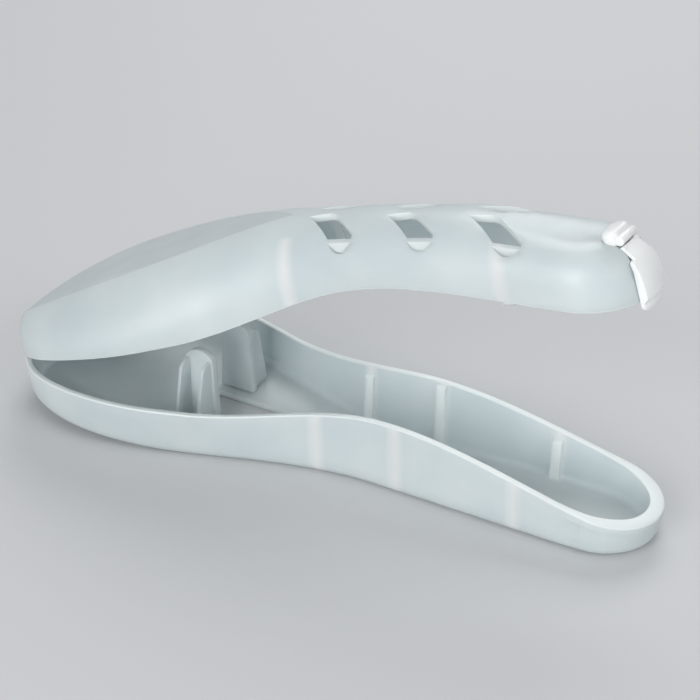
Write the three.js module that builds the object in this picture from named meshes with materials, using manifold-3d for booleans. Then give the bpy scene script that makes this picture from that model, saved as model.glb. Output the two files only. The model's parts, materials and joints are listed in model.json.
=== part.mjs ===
// Razor case: a frosted clamshell that folds at its wide end and is held shut by a clasp at its narrow end.
// X runs from the hinge end to the clasp, Y across, Z up from the table, all in millimetres.
import * as THREE from "three";
import Module from "manifold-3d";
import { mergeVertices } from "three/addons/utils/BufferGeometryUtils.js";

const wasm = await Module();
wasm.setup();

// Gaps and small allowances shared by all pieces
const seatGap = 0.3;
const rimGap = 0.3;
const overrun = 2;
const weld = 0.0001;

// Plan outline, half of it from the straight hinge end round to the tip of the latch end
const caseLength = 188;
const hingeFlat = 12;
const headAt = 30;
const headHalf = 34.2;
const headPull = 25;
const gripLength = 76;
const neckAt = caseLength - gripLength;
const neckHalf = 14.75;
const neckPull = 29;
const gripPull = 20;
const latchRadius = 15.4;

// Heights of the rim, where the two halves meet
const rimHead = 13.6;
const rimSwell = 0.8;
const rimSwellAt = 26;
const rimSwellEnd = 52;
const rimPeakPast = 5;
const rimPeakAt = neckAt + rimPeakPast;
const rimRiseLength = 55;
const rimRiseAt = rimPeakAt - rimRiseLength;
const rimPeak = 20.8;
const rimLatch = 8.6;
const rimEndSlopeShare = -0.14;

// Underside of the tray: flat in the middle, lifted at both ends
const soleHingeRise = 3.4;
const soleHingeAt = 8;
const soleFlatFrom = 62;
const soleLatchRun = 28;
const soleFlatTo = caseLength - soleLatchRun;
const soleLatchRise = 0.4;
const restAt = 107;

// Walls of both halves
const wall = 1.8;
const latchWall = 3.8;
const latchWallRun = 23;
const latchWallFull = 6;
const latchWallFrom = caseLength - latchWallRun;
const latchWallTo = caseLength - latchWallFull;
const rimRound = 0.35;
const trayDraft = 0.8;
const trayFillet = 2.5;
const floorThick = 1.8;
const floorFillet = 2;

// Catch lip round the latch end of the tray
const lipTall = 2.2;
const lipStep = 0.5;
const lipDepth = 0.7;
const lipRun = 23;
const lipFull = 10;
const lipFrom = caseLength - lipRun;
const lipTo = caseLength - lipFull;

// Lid: crown line along the middle, teardrop panel in the head, folded crease round it
const crownHeight = 38;
const crownShares = [
  [0, 0.592], [0.053, 0.71], [0.16, 0.816], [0.32, 0.925], [0.49, 1],
  [0.69, 0.934], [0.8, 0.865], [0.9, 0.685], [0.975, 0.602],
];
const lidTopWall = 1.8;
const panelFrontAt = 1;
const panelWideAt = 14;
const panelHalf = 23;
const panelTipBefore = 20;
const panelTipAt = neckAt - panelTipBefore;
const panelMatePast = 2;
const panelMateAt = panelTipAt + panelMatePast;
const panelSag = 1.45;
const panelFullShare = 1.9;
const panelTipShare = 0.85;
const creaseInset = 1.2;
const creaseRun = 32;
const creaseFrom = panelTipAt - creaseRun;
const creaseTurn = 58;
const sideShare = 2.5;
const noseShare = 3.6;
const noseRun = 38;
const noseFull = 8;
const noseFrom = caseLength - noseRun;
const noseTo = caseLength - noseFull;
const noseReach = 12;
const rimCrowding = 1.3;

// Steps of the loft: along the four stretches of the outline, up the lid's side and round a fillet
const outlineSteps = [9, 14, 8, 10];
const sideSteps = 8;
const filletSteps = 3;
const panelSteps = 4;
const arcSteps = 6;
const rodSides = 20;
const postSides = 96;

// Drain window in the tray floor
const windowBefore = 32;
const windowLength = 30;
const windowTo = neckAt - windowBefore;
const windowFrom = windowTo - windowLength;
const windowHalf = 5.5;
const windowCorner = 2;

// Upright ribs inside the tray walls, each with its own drop below the rim
const ribWide = 2.6;
const ribProud = 1.5;
const ribNeckBefore = 15.5;
const ribGripPast = 7.5;
const ribLatchBack = 34;
const ribNeckAt = neckAt - ribNeckBefore;
const ribGripAt = neckAt + ribGripPast;
const ribLatchAt = caseLength - ribLatchBack;
const ribDrop = 2.4;
const ribGripDrop = 0.8;

// Lid fins, in line with the neck ribs, and lid posts
const finWide = 2.6;
const finDeep = 2;
const finLift = 0.5;
const postBack = 31;
const postAt = caseLength - postBack;
const postWide = 2.6;
const postDeep = 2.4;
const postTall = 7;
const postNose = 2;
const postChamfer = 0.8;

// Vent slots, three on each side of the lid, each with a half moon sunk into the wall below its foot
const slotBefore = 12;
const slotFirstAt = neckAt - slotBefore;
const slotPitch = 23.2;
const slotCount = 3;
const slotWide = 7;
const slotLean = 9.3;
const slotTop = 1.2;
const slotSkew = 1.6;
const slotFoot = 10.8;
const slotWeb = 0.7;
const slotMoon = 1.5;
const slotFloor = 1.2;
const slotCorner = 1.4;

// Cradle: two upright channels that hold a neck between them, open side outwards
const cradlePast = 5.5;
const cradleAt = windowFrom + cradlePast;
const cradleGapHalf = 8.2;
const cradleThick = 2.1;
const cradleTop = 23.8;
const cradleArch = 3.6;
const cradleHalf = 4.5;
const cradleFootHalf = 5.4;
const flangeWide = 1;
const flangeInset = 0.3;
const flangeFoot = 7.8;
const flangeShoulder = 4.2;
const flangeDrop = 2.7;
const flangeRound = 3.2;

// Folding hinge: two straight leaves and the web bead between them
const leafHalf = 17.5;
const leafThick = 1;
const leafFold = 0.9;
const lidLeafTall = 2.9;
const baseLeafTall = 3.1;
const leafNub = 0.5;
const webRadius = 0.5;
const hingeX = -seatGap - leafThick / 2;
const hingeZ = rimHead + rimGap / 2;
const openAngle = 18.4;

// Clasp: an anchor let into the lid and a strap that swings on its root
const anchorBack = 8.1;
const anchorLong = 4.2;
const anchorHalf = 4.7;
const anchorTall = 3.7;
const anchorProud = 3.4;
const anchorFrom = caseLength - anchorBack;
const anchorTo = anchorFrom + anchorLong;
const noseHigh = crownHeight * crownShares[crownShares.length - 1][1];
const anchorHigh = noseHigh + anchorProud;
const anchorLow = anchorHigh - anchorTall;
const anchorRound = 0.8;
const anchorCorner = 2.1;
const heelRadius = 1.1;
const heelHalf = 4;
const heelOut = 0.4;
const bossWall = 1.8;
const bossDeep = 5.5;
const notchDeep = 2.6;
const rootBack = 3.1;
const rootDrop = 0.9;
const rootX = caseLength - rootBack;
const rootZ = anchorLow - rootDrop;
const rootRadius = 0.8;
const neckHalfWide = 4.2;
const strapHalf = 5.8;
const strapCorner = 1.6;
const strapNeckTall = 2.4;
const strapShoulderAt = rootZ - strapNeckTall;
const strapDeep = 5.3;
const strapTall = 15.1;

// Strap section in shares of its depth and height, measured out from and down from its root
const tabOuterShares = [[0.08, -0.06], [0.36, 0.04], [0.66, 0.17], [0.905, 0.38], [0.98, 0.58], [1, 0.76]];
const lipOuterShares = [[0.97, 0.8], [0.78, 0.87], [0.8, 0.93], [0.72, 1]];
const neckInnerShares = [[0.585, 0.23], [0.49, 0.17], [0.34, 0.1], [0.11, 0.04]];
const strapSeatShare = 0.33;

const frosted = { color: 0xe4ebe9, roughness: 0.42, metalness: 0 };
const opaqueWhite = { color: 0xf3f4f2, roughness: 0.35, metalness: 0 };

// Small helpers
function ease(from, to, at) {
  return THREE.MathUtils.smoothstep(at, from, to);
}

function between(a, b, share) {
  return a + (b - a) * share;
}

function solidFrom(geometry) {
  const bare = geometry.clone();
  bare.deleteAttribute("normal");
  bare.deleteAttribute("uv");
  const merged = mergeVertices(bare, weld);
  const vertProperties = new Float32Array(merged.attributes.position.array);
  const triVerts = new Uint32Array(merged.index.array);
  return new wasm.Manifold(new wasm.Mesh({ numProp: 3, vertProperties, triVerts }));
}

function meshFrom(name, solid, look) {
  const data = solid.getMesh();
  const geometry = new THREE.BufferGeometry();
  geometry.setAttribute("position", new THREE.BufferAttribute(data.vertProperties, 3));
  geometry.setIndex(new THREE.BufferAttribute(data.triVerts, 1));
  geometry.computeVertexNormals();
  const mesh = new THREE.Mesh(geometry, new THREE.MeshStandardMaterial(look));
  mesh.name = name;
  return mesh;
}

function box(x0, x1, y0, y1, z0, z1) {
  const geometry = new THREE.BoxGeometry(x1 - x0, Math.abs(y1 - y0), z1 - z0);
  geometry.translate((x0 + x1) / 2, (y0 + y1) / 2, (z0 + z1) / 2);
  return solidFrom(geometry);
}

function rodAcross(x, z, radius, half, sides) {
  const geometry = new THREE.CylinderGeometry(radius, radius, 2 * half, sides);
  geometry.translate(x, 0, z);
  return solidFrom(geometry);
}

function extrusion(shape, depth) {
  return new THREE.ExtrudeGeometry(shape, { depth, bevelEnabled: false, curveSegments: arcSteps });
}

// A plan shape raised along Z
function upright(shape, low, high) {
  const geometry = extrusion(shape, high - low);
  geometry.translate(0, 0, low);
  return solidFrom(geometry);
}

// A side view, x and z, carried across Y
function across(shape, y0, y1) {
  const geometry = extrusion(shape, y1 - y0);
  geometry.rotateX(Math.PI / 2);
  geometry.translate(0, y1, 0);
  return solidFrom(geometry);
}

// An end view, y and z, carried along X
function along(shape, x0, x1) {
  const geometry = extrusion(shape, x1 - x0);
  const turn = new THREE.Matrix4().makeBasis(
    new THREE.Vector3(0, 1, 0),
    new THREE.Vector3(0, 0, 1),
    new THREE.Vector3(1, 0, 0),
  );
  geometry.applyMatrix4(turn);
  geometry.translate(x0, 0, 0);
  return solidFrom(geometry);
}

// Half of the plan outline as points with inward normals
function planOutline() {
  const endAt = caseLength - latchRadius;
  const point = (x, y) => new THREE.Vector2(x, y);
  const curves = [
    new THREE.EllipseCurve(headAt, hingeFlat, headAt, headHalf - hingeFlat, Math.PI, Math.PI / 2, true),
    new THREE.CubicBezierCurve(
      point(headAt, headHalf),
      point(headAt + headPull, headHalf),
      point(neckAt - neckPull, neckHalf),
      point(neckAt, neckHalf),
    ),
    new THREE.CubicBezierCurve(
      point(neckAt, neckHalf),
      point(neckAt + gripPull, neckHalf),
      point(endAt - gripPull, latchRadius),
      point(endAt, latchRadius),
    ),
    new THREE.EllipseCurve(endAt, 0, latchRadius, latchRadius, Math.PI / 2, 0, true),
  ];
  const list = [];
  curves.forEach((curve, index) => {
    const steps = outlineSteps[index];
    for (let k = index === 0 ? 0 : 1; k <= steps; k += 1) {
      const at = curve.getPoint(k / steps);
      const way = curve.getTangent(k / steps);
      list.push({ x: at.x, y: at.y, nx: way.y, ny: -way.x });
    }
  });
  const tip = list[list.length - 1];
  tip.y = 0;
  tip.nx = -1;
  tip.ny = 0;
  return list;
}

const outline = planOutline();

function inset(point, depth) {
  return { x: point.x + point.nx * depth, y: Math.max(0, point.y + point.ny * depth) };
}

function halfWidthAt(x) {
  const next = outline.findIndex((point) => point.x >= x);
  const b = outline[next];
  const a = outline[next - 1];
  return between(a.y, b.y, (x - a.x) / (b.x - a.x));
}

// Heights and thicknesses that change along the case
function rimAt(x) {
  if (x < rimPeakAt) {
    const swell = rimSwell * ease(0, rimSwellAt, x) * (1 - ease(rimSwellAt, rimSwellEnd, x));
    return between(rimHead, rimPeak, ease(rimRiseAt, rimPeakAt, x)) + swell;
  }
  const span = caseLength - rimPeakAt;
  const t = (x - rimPeakAt) / span;
  const fall = between(rimPeak, rimLatch, ease(rimPeakAt, caseLength, x));
  return fall + rimEndSlopeShare * span * t * t * (t - 1);
}

function lidRimAt(x) {
  return rimAt(x) + rimGap;
}

function soleAt(x) {
  const hingeRise = soleHingeRise * (1 - ease(soleHingeAt, soleFlatFrom, x));
  return hingeRise + soleLatchRise * ease(soleFlatTo, caseLength, x);
}

function wallAt(x) {
  return between(wall, latchWall, ease(latchWallFrom, latchWallTo, x));
}

function crownAt(x) {
  const knots = crownShares.map(([xShare, zShare]) => [xShare * caseLength, zShare * crownHeight]);
  const last = knots.length - 1;
  const slope = (i) => {
    const a = knots[Math.max(i - 1, 0)];
    const b = knots[Math.min(i + 1, last)];
    return (b[1] - a[1]) / (b[0] - a[0]);
  };
  const found = knots.findIndex((knot) => knot[0] > x);
  const i = found < 0 ? last - 1 : Math.max(found - 1, 0);
  const [x0, z0] = knots[i];
  const [x1, z1] = knots[i + 1];
  const t = (x - x0) / (x1 - x0);
  const bend = slope(i) * t * (1 - t) * (1 - t) - slope(i + 1) * t * t * (1 - t);
  return between(z0, z1, t * t * (3 - 2 * t)) + (x1 - x0) * bend;
}

// Loops, bands between loops and caps made of rows
function loopOf(half) {
  const near = half.map((p) => new THREE.Vector3(p.x, -p.y, p.z));
  const far = half.slice(0, -1).reverse().map((p) => new THREE.Vector3(p.x, p.y, p.z));
  return [...near, ...far];
}

function band(faces, low, high) {
  low.forEach((a, i) => {
    const j = (i + 1) % low.length;
    faces.push([a, low[j], high[j]]);
    faces.push([a, high[j], high[i]]);
  });
}

function stitch(faces, left, right, faceUp) {
  const lastLeft = left.length - 1;
  const lastRight = right.length - 1;
  let a = 0;
  let b = 0;
  while (a < lastLeft || b < lastRight) {
    const leftNext = b === lastRight || (a < lastLeft && (a + 1) * lastRight <= (b + 1) * lastLeft);
    const third = leftNext ? left[a + 1] : right[b + 1];
    faces.push(faceUp ? [left[a], right[b], third] : [right[b], left[a], third]);
    if (leftNext) {
      a += 1;
    } else {
      b += 1;
    }
  }
}

function rowsOf(half, steps, heightAt) {
  return half.map((p, i) => {
    if (p.y < weld) {
      return [new THREE.Vector3(p.x, 0, p.z)];
    }
    const count = i === 0 ? 1 : steps;
    const row = [];
    for (let k = 0; k <= count; k += 1) {
      const y = between(-p.y, p.y, k / count);
      row.push(new THREE.Vector3(p.x, y, k === 0 || k === count ? p.z : heightAt(p, y)));
    }
    return row;
  });
}

function cap(faces, rows, faceUp) {
  for (let i = 0; i + 1 < rows.length; i += 1) {
    stitch(faces, rows[i], rows[i + 1], faceUp);
  }
}

// A closed body from rings that run up the outside or down the inside, closed by a cap at each end
function loft(rings, firstRows, lastRows) {
  const faces = [];
  const loops = rings.map(loopOf);
  cap(faces, firstRows, false);
  for (let i = 0; i + 1 < loops.length; i += 1) {
    band(faces, loops[i], loops[i + 1]);
  }
  cap(faces, lastRows, true);
  const sound = faces.filter(([a, b, c]) => (
    a.distanceTo(b) > weld && b.distanceTo(c) > weld && c.distanceTo(a) > weld
  ));
  return solidFrom(new THREE.BufferGeometry().setFromPoints(sound.flat()));
}

function flatRows(half) {
  return rowsOf(half, 1, (p) => p.z);
}

// Tray shell: sole, fillet, drafted wall with its catch lip, rim, then down the inside to the floor
function ring(depthAt, heightAt) {
  return outline.map((point) => {
    const p = inset(point, depthAt(point.x));
    return { ...p, z: heightAt(p.x) };
  });
}

function trayShell() {
  const rings = [];
  for (let k = 0; k <= filletSteps; k += 1) {
    const turn = (k / filletSteps) * (Math.PI / 2);
    rings.push(ring(
      () => trayDraft + trayFillet * (1 - Math.sin(turn)),
      (x) => soleAt(x) + trayFillet * (1 - Math.cos(turn)),
    ));
  }
  rings.push(ring((x) => lipDepth * ease(lipFrom, lipTo, x), (x) => rimAt(x) - lipTall - lipStep));
  rings.push(ring(() => 0, (x) => rimAt(x) - lipTall));
  rings.push(ring(() => 0, (x) => rimAt(x) - rimRound));
  rings.push(ring(() => rimRound, rimAt));
  rings.push(ring((x) => wallAt(x) - rimRound, rimAt));
  rings.push(ring(wallAt, (x) => rimAt(x) - rimRound));
  for (let k = filletSteps; k >= 0; k -= 1) {
    const turn = (k / filletSteps) * (Math.PI / 2);
    rings.push(ring(
      (x) => wallAt(x) + trayDraft + floorFillet * (1 - Math.sin(turn)),
      (x) => soleAt(x) + floorThick + floorFillet * (1 - Math.cos(turn)),
    ));
  }
  return loft(rings, flatRows(rings[0]), flatRows(rings[rings.length - 1]));
}

// A rounded oblong in plan, symmetric about the middle line
function oblong(x0, x1, half, corner) {
  const shape = new THREE.Shape();
  const c = corner;
  shape.moveTo(x0 + c, -half);
  shape.lineTo(x1 - c, -half);
  shape.absarc(x1 - c, -half + c, c, -Math.PI / 2, 0, false);
  shape.lineTo(x1, half - c);
  shape.absarc(x1 - c, half - c, c, 0, Math.PI / 2, false);
  shape.lineTo(x0 + c, half);
  shape.absarc(x0 + c, half - c, c, Math.PI / 2, Math.PI, false);
  shape.lineTo(x0, -half + c);
  shape.absarc(x0 + c, -half + c, c, Math.PI, Math.PI * 1.5, false);
  return shape;
}

function sideShape(points) {
  return new THREE.Shape(points.map(([y, z]) => new THREE.Vector2(y, z)));
}

function trayRib(at, drop, side) {
  const outer = halfWidthAt(at) - wall / 2;
  const inner = halfWidthAt(at) - wall - ribProud;
  const low = soleAt(at) + floorThick / 2;
  const high = rimAt(at) - drop;
  const points = [
    [side * (outer - trayDraft), low],
    [side * outer, high],
    [side * (inner + ribProud / 2), high],
    [side * inner, high - ribProud / 2],
    [side * (inner - trayDraft), low],
  ];
  return along(sideShape(points), at - ribWide / 2, at + ribWide / 2);
}

function buildTray() {
  let tray = trayShell();
  for (const side of [-1, 1]) {
    tray = tray.add(trayRib(ribNeckAt, ribDrop, side));
    tray = tray.add(trayRib(ribGripAt, ribGripDrop, side));
    tray = tray.add(trayRib(ribLatchAt, ribDrop, side));
  }
  const window = oblong(windowFrom, windowTo, windowHalf, windowCorner);
  return tray.subtract(upright(window, -overrun, rimHead));
}

// Lid section: from the rim up a superellipse side to the panel's edge or to the crown line
function panelHalfAt(x) {
  const u = THREE.MathUtils.clamp((x - panelWideAt) / (panelTipAt - panelWideAt), 0, 1);
  return panelHalf * (1 - u ** panelFullShare) ** panelTipShare;
}

function topOf(point) {
  if (point.x <= headAt) {
    const turn = Math.acos(THREE.MathUtils.clamp(1 - point.x / headAt, 0, 1));
    return {
      x: between(panelFrontAt, panelWideAt, 1 - Math.cos(turn)),
      y: between(hingeFlat, panelHalf, Math.sin(turn)),
    };
  }
  if (point.x < panelMateAt) {
    const x = between(panelWideAt, panelTipAt, (point.x - headAt) / (panelMateAt - headAt));
    return { x, y: panelHalfAt(x) };
  }
  const behind = panelMateAt - panelTipAt;
  const share = Math.max(0, (point.x - noseFrom) / (caseLength - noseFrom));
  return { x: point.x - behind - (noseReach - behind) * share * share, y: 0 };
}

function panelHeightAt(x, y) {
  return crownAt(x) - panelSag * (y / panelHalf) ** 2;
}

function lidPoint(point, depth, drop, crease, share) {
  const foot = inset(point, depth);
  const low = lidRimAt(foot.x);
  const top = topOf(point);
  const head = {
    x: top.x + point.nx * crease,
    y: top.y < weld ? 0 : Math.max(0, top.y + point.ny * crease),
  };
  const high = panelHeightAt(head.x, head.y) - drop;
  const full = THREE.MathUtils.degToRad(between(creaseTurn, 90, ease(creaseFrom, panelTipAt, top.x)));
  const power = 2 / between(sideShare, noseShare, ease(noseFrom, noseTo, point.x));
  const out = (1 - Math.cos(full * share) ** power) / (1 - Math.cos(full) ** power);
  const up = Math.sin(full * share) ** power / Math.sin(full) ** power;
  return {
    x: between(foot.x, head.x, out),
    y: between(foot.y, head.y, out),
    z: between(low, high, up),
  };
}

function lidRing(depthAt, drop, crease, share) {
  return outline.map((point) => lidPoint(point, depthAt(point.x), drop, crease, share));
}

function lidRows(half, drop) {
  return rowsOf(half, panelSteps, (p, y) => panelHeightAt(p.x, y) - drop);
}

// Steps up the side, closer together near the rim, where the wall is steep
function sideRings(depthAt, drop, crease) {
  const rings = [];
  for (let k = 0; k <= sideSteps; k += 1) {
    rings.push(lidRing(depthAt, drop, crease, (k / sideSteps) ** rimCrowding));
  }
  return rings;
}

function lidShell() {
  const inner = sideRings(wallAt, lidTopWall, creaseInset).reverse();
  const outer = sideRings(() => 0, 0, 0);
  const rings = [...inner, ...outer];
  return loft(rings, lidRows(rings[0], lidTopWall), lidRows(rings[rings.length - 1], 0));
}

// The filled lid, drawn in by half a wall, trims what is added inside the shell
function lidCore() {
  const rings = sideRings((x) => wallAt(x) / 2, lidTopWall / 2, creaseInset / 2);
  return loft(rings, flatRows(rings[0]), lidRows(rings[rings.length - 1], lidTopWall / 2));
}

function lidFin(side) {
  const outer = halfWidthAt(ribNeckAt);
  const inner = outer - wall - finDeep;
  const low = lidRimAt(ribNeckAt) + finLift;
  return box(ribNeckAt - finWide / 2, ribNeckAt + finWide / 2, side * inner, side * outer, low, crownHeight);
}

function lidPost(side) {
  const half = halfWidthAt(postAt);
  const face = half - wall - seatGap;
  const rim = lidRimAt(postAt);
  const points = [
    [side * (half - wall / 2), rim + postTall],
    [side * (half - wall / 2), rim + finLift],
    [side * face, rim + finLift],
    [side * face, rim - postNose + postChamfer],
    [side * (face - postChamfer), rim - postNose],
    [side * (face - postDeep + postChamfer), rim - postNose],
    [side * (face - postDeep), rim - postNose + postChamfer],
    [side * (face - postDeep), rim + postTall],
  ];
  return along(sideShape(points), postAt - postWide / 2, postAt + postWide / 2);
}

// Slot in plan: slanted from the middle line to a straight foot
function slotShape(x, side) {
  const shape = new THREE.Shape();
  const top = side * slotTop;
  const foot = side * slotFoot;
  shape.moveTo(x, top + side * slotSkew);
  shape.lineTo(x + slotWide - slotCorner, top);
  shape.quadraticCurveTo(x + slotWide, top, x + slotWide + slotCorner, top + side * slotCorner);
  shape.lineTo(x + slotLean + slotWide, foot - side * slotCorner);
  shape.lineTo(x + slotLean + slotWide, foot);
  shape.lineTo(x + slotLean, foot);
  shape.closePath();
  return shape;
}

// Half moon in plan, beyond the thin web at the slot's foot
function moonShape(x, side) {
  const shape = new THREE.Shape();
  const left = x + slotLean;
  const from = side * (slotFoot + slotWeb);
  shape.moveTo(left, from);
  shape.quadraticCurveTo(left + slotWide / 2, from + side * 2 * slotMoon, left + slotWide, from);
  shape.closePath();
  return shape;
}

// Height of the lid's inner face beside a moon
function innerFaceAt(x) {
  const low = lidRimAt(x);
  const high = crownAt(x) - lidTopWall;
  const reach = (slotFoot + slotWeb) / (halfWidthAt(x) - wall);
  return between(low, high, (1 - reach ** sideShare) ** (1 / sideShare));
}

function lidSlots() {
  const cuts = [];
  for (let k = 0; k < slotCount; k += 1) {
    const x = slotFirstAt + k * slotPitch;
    const face = innerFaceAt(x + slotLean + slotWide / 2);
    for (const side of [-1, 1]) {
      cuts.push(upright(slotShape(x, side), face - overrun, crownHeight + overrun));
      cuts.push(upright(moonShape(x, side), face + slotFloor, crownHeight + overrun));
    }
  }
  return cuts;
}

function claspPocket() {
  const socket = oblong(
    anchorFrom - seatGap, anchorTo + seatGap, anchorHalf + seatGap, anchorCorner + seatGap,
  );
  const half = neckHalfWide + seatGap;
  const notch = box(rootX - rootRadius - seatGap, caseLength, -half, half, rootZ - notchDeep, anchorHigh);
  return upright(socket, anchorLow - seatGap, anchorHigh + overrun).add(notch);
}

function buildLid() {
  const bossFrom = anchorFrom - seatGap - bossWall;
  const bossHalf = anchorHalf + seatGap + bossWall;
  const boss = box(bossFrom, caseLength, -bossHalf, bossHalf, anchorLow - bossDeep, anchorHigh);
  let inside = lidFin(-1).add(lidFin(1)).add(boss);
  inside = inside.intersect(lidCore());
  let lid = lidShell().add(inside).add(lidPost(-1)).add(lidPost(1));
  for (const cut of lidSlots()) {
    lid = lid.subtract(cut);
  }
  return lid.subtract(claspPocket());
}

// Cradle upright: a web with an arched top and a tapered flange at each edge
function buildCradle(side) {
  const low = soleAt(cradleAt - cradleFootHalf) + floorThick + seatGap;
  const shoulder = cradleTop - cradleArch;
  const shape = new THREE.Shape();
  shape.moveTo(cradleAt + cradleFootHalf, low);
  shape.lineTo(cradleAt + cradleHalf, shoulder);
  shape.absellipse(cradleAt, shoulder, cradleHalf, cradleArch, 0, Math.PI, false);
  shape.lineTo(cradleAt - cradleFootHalf, low);
  const inner = side * cradleGapHalf;
  const outer = side * (cradleGapHalf + cradleThick);
  let body = across(shape, Math.min(inner, outer), Math.max(inner, outer));
  const root = outer - side * cradleThick / 2;
  const top = cradleTop - flangeDrop;
  for (const hand of [-1, 1]) {
    const x = cradleAt + hand * (cradleHalf - flangeInset - flangeWide / 2);
    const flange = new THREE.Shape();
    flange.moveTo(root, low);
    flange.lineTo(outer + side * flangeFoot, low);
    flange.lineTo(outer + side * flangeShoulder, top - flangeRound);
    flange.quadraticCurveTo(outer + side * flangeShoulder, top, root, top);
    flange.closePath();
    body = body.add(along(flange, x - flangeWide / 2, x + flangeWide / 2));
  }
  return body;
}

// Hinge leaves and web
function buildBaseLeaf() {
  const x0 = hingeX - leafThick / 2;
  return box(x0, x0 + leafThick, -leafHalf, leafHalf, hingeZ - leafFold - baseLeafTall, hingeZ - leafFold);
}

function buildLidLeaf() {
  const x0 = hingeX - leafThick / 2;
  const high = hingeZ + leafFold + lidLeafTall;
  let leaf = box(x0, x0 + leafThick, -leafHalf, leafHalf, hingeZ + leafFold, high);
  for (const side of [-1, 1]) {
    const y = side * (leafHalf - leafNub);
    leaf = leaf.add(box(x0, x0 + leafThick, y - leafNub, y + leafNub, high - leafNub, high + leafNub));
  }
  return leaf;
}

function buildWeb() {
  return rodAcross(hingeX, hingeZ, webRadius, leafHalf, rodSides);
}

// Clasp anchor: a rounded block let into the lid's nose, with a round heel that covers the strap's root
function buildAnchor() {
  const shape = oblong(
    anchorFrom + anchorRound, anchorTo - anchorRound, anchorHalf - anchorRound, anchorCorner - anchorRound,
  );
  const geometry = new THREE.ExtrudeGeometry(shape, {
    depth: anchorHigh - anchorLow - 2 * anchorRound,
    bevelThickness: anchorRound,
    bevelSize: anchorRound,
    bevelSegments: 3,
    curveSegments: arcSteps,
  });
  geometry.translate(0, 0, anchorLow + anchorRound);
  const heelZ = rootZ + rootRadius + seatGap + heelRadius;
  const heel = rodAcross(anchorTo + heelOut, heelZ, heelRadius, heelHalf, rodSides);
  return solidFrom(geometry).add(heel);
}

// Strap section turned about the round end of the lid: thin neck, thick tab, groove and lower lip
function strapRing() {
  const endAt = caseLength - latchRadius;
  const rootOut = rootX - endAt;
  const seat = latchRadius + seatGap;
  const place = ([out, down]) => new THREE.Vector2(rootOut + out * strapDeep, rootZ - down * strapTall);
  const curve = (shares, steps) => new THREE.SplineCurve(shares.map(place)).getPoints(steps);
  const section = [
    ...curve(tabOuterShares, 2 * arcSteps),
    ...curve(lipOuterShares, arcSteps),
    new THREE.Vector2(seat, rootZ - strapTall),
    new THREE.Vector2(seat, rootZ - strapSeatShare * strapTall),
    ...neckInnerShares.map(place),
  ].reverse();
  section.push(section[0].clone());
  const geometry = new THREE.LatheGeometry(section, postSides);
  geometry.rotateX(Math.PI / 2);
  geometry.translate(endAt, 0, 0);
  return solidFrom(geometry);
}

// Front view of the strap: a narrow neck above a wide tab with rounded lower corners
function strapFront() {
  const low = rootZ - strapTall;
  const turn = Math.PI / 2;
  const shape = new THREE.Shape();
  shape.moveTo(strapHalf, low + strapCorner);
  shape.lineTo(strapHalf, strapShoulderAt - strapCorner);
  shape.quadraticCurveTo(strapHalf, strapShoulderAt, neckHalfWide, strapShoulderAt);
  shape.lineTo(neckHalfWide, anchorHigh);
  shape.lineTo(-neckHalfWide, anchorHigh);
  shape.lineTo(-neckHalfWide, strapShoulderAt);
  shape.quadraticCurveTo(-strapHalf, strapShoulderAt, -strapHalf, strapShoulderAt - strapCorner);
  shape.lineTo(-strapHalf, low + strapCorner);
  shape.absarc(-strapHalf + strapCorner, low + strapCorner, strapCorner, 2 * turn, 3 * turn, false);
  shape.absarc(strapHalf - strapCorner, low + strapCorner, strapCorner, 3 * turn, 4 * turn, false);
  return shape;
}

function buildStrap() {
  const front = along(strapFront(), rootX, caseLength + strapDeep);
  return strapRing().intersect(front).add(rodAcross(rootX, rootZ, rootRadius, neckHalfWide, rodSides));
}

// Assembly: the tray stands on the table, the lid group turns about the hinge, the strap rides on the lid
function hung(mesh) {
  mesh.position.set(-hingeX, 0, -hingeZ);
  return mesh;
}

const lidGroup = new THREE.Group();
lidGroup.position.set(hingeX, 0, hingeZ);
lidGroup.rotation.y = THREE.MathUtils.degToRad(-openAngle);
lidGroup.add(hung(meshFrom("lid_shell", buildLid(), frosted)));
lidGroup.add(hung(meshFrom("hinge_leaf_lid", buildLidLeaf(), frosted)));
lidGroup.add(hung(meshFrom("clasp_anchor", buildAnchor(), opaqueWhite)));
lidGroup.add(hung(meshFrom("clasp_strap", buildStrap(), opaqueWhite)));

const razorCase = new THREE.Group();
razorCase.name = "razor_case";
razorCase.position.set(-restAt, 0, 0);
razorCase.add(meshFrom("base_tray", buildTray(), frosted));
razorCase.add(meshFrom("neck_cradle_near", buildCradle(-1), frosted));
razorCase.add(meshFrom("neck_cradle_far", buildCradle(1), frosted));
razorCase.add(meshFrom("hinge_leaf_base", buildBaseLeaf(), frosted));
razorCase.add(meshFrom("hinge_web", buildWeb(), frosted));
razorCase.add(lidGroup);

export default razorCase;
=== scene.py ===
# %% [markdown]
# A razor case in frosted plastic
# The case is one clamshell: a tray, a lid that folds back on a living hinge, and a small
# white clasp. Its walls are a little under two millimetres of milky polypropylene.
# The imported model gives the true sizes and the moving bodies, and could be dressed as it is.
# The two big shells are lofted again here with many more rings, because light runs softly
# over them and would show facets.

import json
import math

import bmesh
import bpy
import numpy as np
from mathutils import Matrix, Vector


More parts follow.
